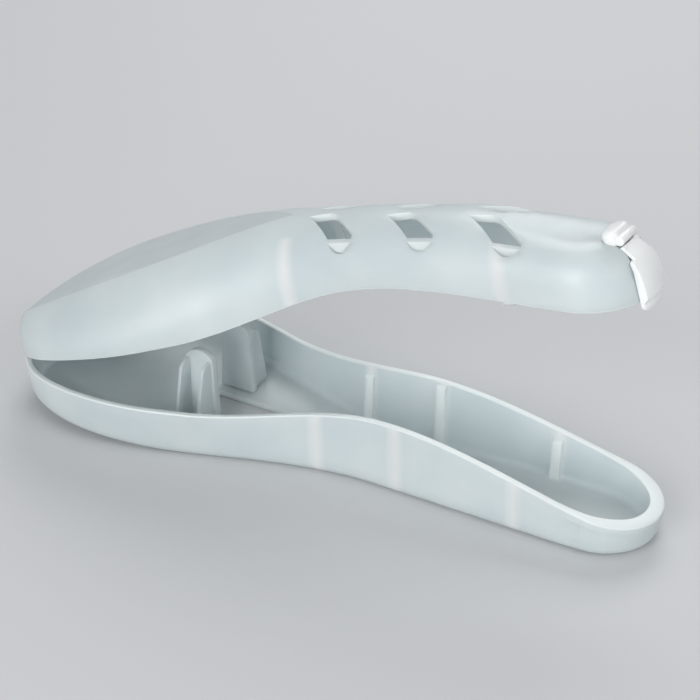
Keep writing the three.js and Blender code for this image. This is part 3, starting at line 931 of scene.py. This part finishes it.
# %% [markdown]
# Small pieces
# The hinge leaves, web and clasp have their true shapes in the frame already. Building them
# anew could only spoil the small gaps between them. So a copy of each gets its loose corners
# welded, softened edges and smooth shading, as a mould leaves them.

# %% Soften copies of the small pieces
weld_distance = 0.00001
flat_limit = math.radians(1)


def soft_copy(node, width):
    """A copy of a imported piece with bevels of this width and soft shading."""
    source = frame["nodes"][node]
    piece = bpy.data.objects.new("soft_" + node, source.data.copy())
    bpy.context.collection.objects.link(piece)
    piece.data.materials.clear()
    if piece.data.has_custom_normals:
        piece.data.attributes.remove(piece.data.attributes["custom_normal"])
    work = bmesh.new()
    work.from_mesh(piece.data)
    bmesh.ops.remove_doubles(work, verts=work.verts, dist=weld_distance)
    bmesh.ops.dissolve_limit(work, angle_limit=flat_limit, verts=work.verts, edges=work.edges)
    work.to_mesh(piece.data)
    work.free()
    soften_edges(piece, width)
    shade_softly(piece)
    return piece


bevel_of = {
    "hinge_leaf_base": 0.2,
    "hinge_web": 0.05,
    "hinge_leaf_lid": 0.15,
    "clasp_anchor": 0.05,
    "clasp_strap": 0.12,
}
pieces = {node: soft_copy(node, width) for node, width in bevel_of.items()}
print("softened", len(pieces), "small pieces")

# %% [markdown]
# Putting it together
# The lid was drawn shut, so it is turned to the angle of the frame. Each piece keeps its
# place in the shut case in an attribute named home, which the materials read. Object
# coordinates would hold the open lid's slanted place, where a rib has no single x. With home
# the painted glow streaks stand upright, meet those of the tray, and swing with the lid.

# %% Turn the lid, note each piece's home place and hand the pieces to their bodies
bodies = frame["record"]["behaviour"]["bodies"]
body_of = {node: body for body, nodes in bodies.items() for node in nodes}
shell_edge = 0.15
cradle_edge = 0.08
shells = {"base_tray": tray, "lid_shell": lid}
for made, width in ((shells, shell_edge), (uprights, cradle_edge)):
    for piece in made.values():
        soften_edges(piece, width)
        shade_softly(piece)
    pieces.update(made)
lid.data.transform(lid_turn(open_angle))
shut = lid_turn(-open_angle)
for node, piece in pieces.items():
    on_tray = body_of[node] == "tray"
    home = piece.data.attributes.new("home", "FLOAT_VECTOR", "POINT")
    places = [v.co if on_tray else shut @ v.co for v in piece.data.vertices]
    home.data.foreach_set("vector", np.array(places).ravel())
    piece.name = "shown_" + node
    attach(piece, body_of[node])
    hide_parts(node)
print("pieces ride on", sorted(set(body_of.values())))

# %% [markdown]
# Building materials from nodes
# A material is a small graph: noise gives a number at each place, a range turns it into a
# roughness or a share, and a mix turns the share into a colour. These few helpers each add
# one such step, so that a finish reads as a short list of what was done to the plastic.

# %% Noise, ranges, sums and tints
soft_detail = 2.0


def new_material(name):
    """A material with its nodes and links at hand."""
    material = bpy.data.materials.new(name)
    material.use_nodes = True
    return material, material.node_tree.nodes, material.node_tree.links


def noise_at(nodes, links, places, scale, detail=soft_detail):
    """Cloudy noise at the given places."""
    noise = nodes.new("ShaderNodeTexNoise")
    noise.inputs["Scale"].default_value = scale
    noise.inputs["Detail"].default_value = detail
    links.new(places, noise.inputs["Vector"])
    return noise.outputs["Fac"]


def spread(nodes, links, value, low, high, start=0.3, end=0.7):
    """Carries the range from start to end over to low to high."""
    span = nodes.new("ShaderNodeMapRange")
    span.inputs["From Min"].default_value = start
    span.inputs["From Max"].default_value = end
    span.inputs["To Min"].default_value = low
    span.inputs["To Max"].default_value = high
    links.new(value, span.inputs["Value"])
    return span.outputs["Result"]


def math_step(nodes, links, how, a, b):
    """One step of arithmetic between sockets or numbers."""
    step = nodes.new("ShaderNodeMath")
    step.operation = how
    for socket, value in zip(step.inputs, (a, b)):
        if isinstance(value, (int, float)):
            socket.default_value = value
        else:
            links.new(value, socket)
    return step.outputs["Value"]


def tint_between(nodes, links, share, low, high):
    """A colour between two tints."""
    mix = nodes.new("ShaderNodeMix")
    mix.data_type = "RGBA"
    for socket, value in ((mix.inputs["A"], low), (mix.inputs["B"], high)):
        if isinstance(value, tuple):
            socket.default_value = (*value, 1)
        else:
            links.new(value, socket)
    links.new(share, mix.inputs["Factor"])
    return mix.outputs["Result"]


print("a soft noise has detail", soft_detail)

# %% Home place and grain
grain_scale = 900.0
grain_detail = 3.0
bump_height = 0.00004


def home_place(nodes):
    """Where a point of the surface is when the case is shut."""
    home = nodes.new("ShaderNodeAttribute")
    home.attribute_name = "home"
    return home.outputs["Vector"]


def tooth(nodes, links, where, shader, strength):
    """The fine grain of the mould, as a bump."""
    bump = nodes.new("ShaderNodeBump")
    bump.inputs["Strength"].default_value = strength
    bump.inputs["Distance"].default_value = bump_height
    links.new(noise_at(nodes, links, where, grain_scale, grain_detail), bump.inputs["Height"])
    links.new(bump.outputs["Normal"], shader.inputs["Normal"])


print("the grain repeats about every", round(1 / grain_scale / mm, 1), "mm")

# %% [markdown]
# Frosted plastic
# Milky polypropylene lets a part of the light through and scatters the rest. Frosted glass
# would be too clear and white paint too solid, so one shader gets some rough transmission
# and some light that wanders inside. Slow clouds tint it, a fine grain breaks up the gloss,
# and where a rib or a post makes the plastic thicker the wall is painted whiter, a painted
# glow for the light that the thicker plastic scatters.

# %% Draw the painted glow streaks where ribs stand
streak_half = 1.4
streak_soft = 1.3
streak_out = 11.0
streak_fade = 1.0


def painted_glow_streak_mask(nodes, links, home, places):
    """One on the walls where a rib stands behind them, zero elsewhere: the mask of the painted glow."""
    split = nodes.new("ShaderNodeSeparateXYZ")
    links.new(home, split.inputs["Vector"])
    total = 0.0
    for at in places:
        off = math_step(nodes, links, "SUBTRACT", split.outputs["X"], (at - rest_at) * mm)
        off = math_step(nodes, links, "ABSOLUTE", off, 0.0)
        full, none = (streak_half - streak_soft) * mm, (streak_half + streak_soft) * mm
        total = math_step(nodes, links, "ADD", spread(nodes, links, off, 1, 0, full, none), total)
    away = math_step(nodes, links, "ABSOLUTE", split.outputs["Y"], 0.0)
    on_wall = spread(nodes, links, away, 0, 1, (streak_out - streak_fade) * mm, streak_out * mm)
    return math_step(nodes, links, "MULTIPLY", total, on_wall)


print("a streak is", 2 * streak_half, "mm wide")

# %% Mix the frosted plastic
cloud_scale = 45.0
wear_scale = 120.0
milk_low = (0.73, 0.81, 0.83)
milk_high = (0.82, 0.89, 0.90)
# Painted glow: the white laid on walls where a rib or post stands behind them.
milk_painted_glow = (0.97, 0.99, 0.99)
# Painted glow: rims and cut walls are tinted paler, standing in for the light a cut edge carries.
edge_glow_low = (0.80, 0.87, 0.86)
edge_glow_high = (0.87, 0.92, 0.92)
# Painted dark reflection: the top panel is tinted darker grey, standing in for the dark its glossy face reflects.
panel_painted_dark_low = (0.58, 0.64, 0.66)
panel_painted_dark_high = (0.65, 0.71, 0.72)
glow_share = 0.3
glow_depth = 0.003
worn_smoother = 0.02
worn_rougher = 0.03
plastic_ior = 1.49


def frosted(name, low, high, clear, rough, pitted, places=()):
    """Milky plastic: two tints, how clear, how rough and how grainy, and where ribs stand for the painted glow
    streaks.
    """
    material, nodes, links = new_material(name)
    shader = nodes["Principled BSDF"]
    where = home_place(nodes)
    clouds = noise_at(nodes, links, where, cloud_scale)
    colour = tint_between(nodes, links, spread(nodes, links, clouds, 0, 1), low, high)
    if places:
        # Painted glow: walls are painted whiter where a rib or post stands behind them.
        glow_streaks = painted_glow_streak_mask(nodes, links, where, places)
        colour = tint_between(nodes, links, glow_streaks, colour, milk_painted_glow)
    links.new(colour, shader.inputs["Base Color"])
    wear = noise_at(nodes, links, where, wear_scale)
    worn = spread(nodes, links, wear, rough - worn_smoother, rough + worn_rougher)
    links.new(worn, shader.inputs["Roughness"])
    tooth(nodes, links, where, shader, pitted)
    shader.inputs["Transmission Weight"].default_value = clear
    shader.inputs["Subsurface Weight"].default_value = glow_share
    shader.inputs["Subsurface Radius"].default_value = (1, 1, 1)
    shader.inputs["Subsurface Scale"].default_value = glow_depth
    shader.inputs["IOR"].default_value = plastic_ior
    return material


# Each finish: how clear, how rough, how grainy
wall_finish_shares = (0.35, 0.36, 0.3)
inner_finish_shares = (0.3, 0.36, 0.2)
edge_finish_shares = (0.15, 0.34, 0.05)
panel_finish_shares = (0.2, 0.42, 0.02)
tray_ribs = (rib_neck_at, rib_grip_at, rib_latch_at)
lid_ribs = (rib_neck_at, post_at)
tray_wall = frosted("frosted_tray", milk_low, milk_high, *wall_finish_shares, tray_ribs)
lid_wall = frosted("frosted_lid", milk_low, milk_high, *wall_finish_shares, lid_ribs)
# The edge finish: paler tints that paint the glow of rims and cut walls.
painted_glow_edge = frosted("frosted_edge_glow", edge_glow_low, edge_glow_high, *edge_finish_shares)
# The panel finish: darker tints that paint the dark reflection on the glossy top.
panel_painted_dark = frosted("frosted_panel_painted_dark", panel_painted_dark_low, panel_painted_dark_high, *panel_finish_shares)
inner_wall = frosted("frosted_inner", milk_low, milk_high, *inner_finish_shares)
print("mixed", [m.name for m in (tray_wall, lid_wall, painted_glow_edge, panel_painted_dark, inner_wall)])

# %% [markdown]
# White clasp plastic
# The clasp is a second, opaque plastic: solid white with a satin skin. It needs no light
# inside, so two close whites, a roughness that wanders a little and the grain are enough.

# %% Mix the clasp's white
white_low = (0.86, 0.88, 0.87)
white_high = (0.91, 0.92, 0.91)
satin_smooth = 0.28
satin_rough = 0.38
satin_tooth = 0.3


def satin_white(name):
    """Opaque white with a satin skin."""
    material, nodes, links = new_material(name)
    shader = nodes["Principled BSDF"]
    where = home_place(nodes)
    clouds = spread(nodes, links, noise_at(nodes, links, where, 2 * cloud_scale), 0, 1)
    links.new(tint_between(nodes, links, clouds, white_low, white_high), shader.inputs["Base Color"])
    wear = noise_at(nodes, links, where, wear_scale)
    links.new(spread(nodes, links, wear, satin_smooth, satin_rough), shader.inputs["Roughness"])
    tooth(nodes, links, where, shader, satin_tooth)
    return material


clasp_white = satin_white("clasp_white")
print("mixed", clasp_white.name)

# %% [markdown]
# Dressing the pieces
# Each piece gets its materials. The frosted pieces get three finishes in the order of the
# face kinds: wall, cut edge with its painted glow, and panel with its painted dark reflection.
# Splitting a shell into three objects would do the same, but leave seams in the plastic. The
# clasp needs only its white.

# %% Dress every piece
for node, piece in pieces.items():
    if node.startswith("clasp"):
        piece.data.materials.append(clasp_white)
        continue
    main = {"base_tray": tray_wall, "lid_shell": lid_wall}.get(node, inner_wall)
    for skin_material in (main, painted_glow_edge, panel_painted_dark):
        piece.data.materials.append(skin_material)
print("dressed", len(pieces), "pieces")

# %% [markdown]
# The floor
# A plain pale floor catches the shadow and shows through the plastic. It lies a hair below
# the tray's flat sole, because two faces at one height would flicker through each other.

# %% Lay the floor
floor_half = 6.0
floor_drop = 0.0001
floor_grey = (0.60, 0.61, 0.62)
floor_rough = 0.6


def stage_floor():
    """A wide pale square under the case."""
    mesh = bpy.data.meshes.new("floor")
    square = ((-1, -1), (1, -1), (1, 1), (-1, 1))
    corners = [(x * floor_half, y * floor_half, -floor_drop) for x, y in square]
    mesh.from_pydata(corners, [], [(0, 1, 2, 3)])
    floor = bpy.data.objects.new("floor", mesh)
    bpy.context.collection.objects.link(floor)
    material, nodes, links = new_material("pale_floor")
    shader = nodes["Principled BSDF"]
    shader.inputs["Base Color"].default_value = (*floor_grey, 1)
    shader.inputs["Roughness"].default_value = floor_rough
    mesh.materials.append(material)


stage_floor()
print("floor laid, of the grey", floor_grey)

# %% [markdown]
# Lamps and sky
# Wide soft lamps show the plastic without drama. Three of them light the sides and a weak
# one the top, so the side walls stay brighter than the panel, whose tint is also painted
# darker as a painted dark reflection. A dim sky fills the shadows; straight looks, mirrored
# looks and looks through the plastic see a paler tone of it.

# %% Hang the lamps
lamp_aim = Vector((0, 0, 0.04))
lamps = {
    "front": {"azimuth": 0, "elevation": 20, "distance": 1.2, "size": 0.8, "power": 9},
    "near_right": {"azimuth": 80, "elevation": 30, "distance": 1.2, "size": 0.6, "power": 3},
    "back": {"azimuth": 200, "elevation": 40, "distance": 1.3, "size": 0.8, "power": 6},
    "above": {"azimuth": 0, "elevation": 88, "distance": 1.5, "size": 0.8, "power": 1.6},
}


def way_back(azimuth, elevation):
    """From the case towards a lamp or camera; azimuth and elevation in degrees."""
    a, e = math.radians(azimuth), math.radians(elevation)
    return Vector((math.sin(a) * math.cos(e), -math.cos(a) * math.cos(e), math.sin(e)))


def put(name, data, aim, back, distance):
    """An object placed back from its aim and turned to face it."""
    thing = bpy.data.objects.new(name, data)
    thing.location = aim + back * distance
    thing.rotation_euler = (-back).to_track_quat("-Z", "Y").to_euler()
    bpy.context.collection.objects.link(thing)
    return thing


def lamp(name, azimuth, elevation, distance, size, power):
    """A square soft lamp that faces the case."""
    data = bpy.data.lights.new(name, "AREA")
    data.size = size
    data.energy = power
    put(name, data, lamp_aim, way_back(azimuth, elevation), distance)


for name, how in lamps.items():
    lamp(name, **how)
print("hung", len(lamps), "lamps")

# %% Fill the sky
sky_light = 0.38
sky_seen = 0.62
sky_tint = (0.95, 0.97, 1.0)


def studio_world():
    """An even sky that lights softly and looks paler."""
    world = bpy.data.worlds.new("studio")
    bpy.context.scene.world = world
    world.use_nodes = True
    nodes, links = world.node_tree.nodes, world.node_tree.links
    sky = nodes["Background"]
    sky.inputs["Color"].default_value = (*sky_tint, 1)
    ray = nodes.new("ShaderNodeLightPath").outputs
    seen = math_step(nodes, links, "MAXIMUM", ray["Is Camera Ray"], ray["Is Glossy Ray"])
    seen = math_step(nodes, links, "MAXIMUM", seen, ray["Is Transmission Ray"])
    links.new(spread(nodes, links, seen, sky_light, sky_seen, 0, 1), sky.inputs["Strength"])


studio_world()
bpy.context.scene.view_settings.view_transform = "Standard"
print("sky gives", sky_light, "and looks like", sky_seen)

# %% [markdown]
# The camera
# The camera stands where the photograph was taken from: about thirty degrees to the right of
# the case's side and as many above the table. It could be placed by eye, but the focal
# length in pixels, set against the picture's width, gives the lens outright. A small shift
# moves the case to its place in the picture without turning the camera.

# %% Place the camera
camera_azimuth = 30.3
camera_elevation = 31.0
camera_distance = 0.467
sensor = 36.0
nearest = 0.01
focal_pixels = 1700.0
photo_pixels = 700.0
camera_aim = Vector((-0.013, 0, 0.010))
aim_left = 12.26
aim_down = 62.96

camera_data = bpy.data.cameras.new("camera")
camera_data.sensor_width = sensor
camera_data.lens = focal_pixels / photo_pixels * sensor
camera_data.shift_x = aim_left / photo_pixels
camera_data.shift_y = aim_down / photo_pixels
camera_data.clip_start = nearest
camera_back = way_back(camera_azimuth, camera_elevation)
bpy.context.scene.camera = put("camera", camera_data, camera_aim, camera_back, camera_distance)
print("lens", round(camera_data.lens, 1), "mm")
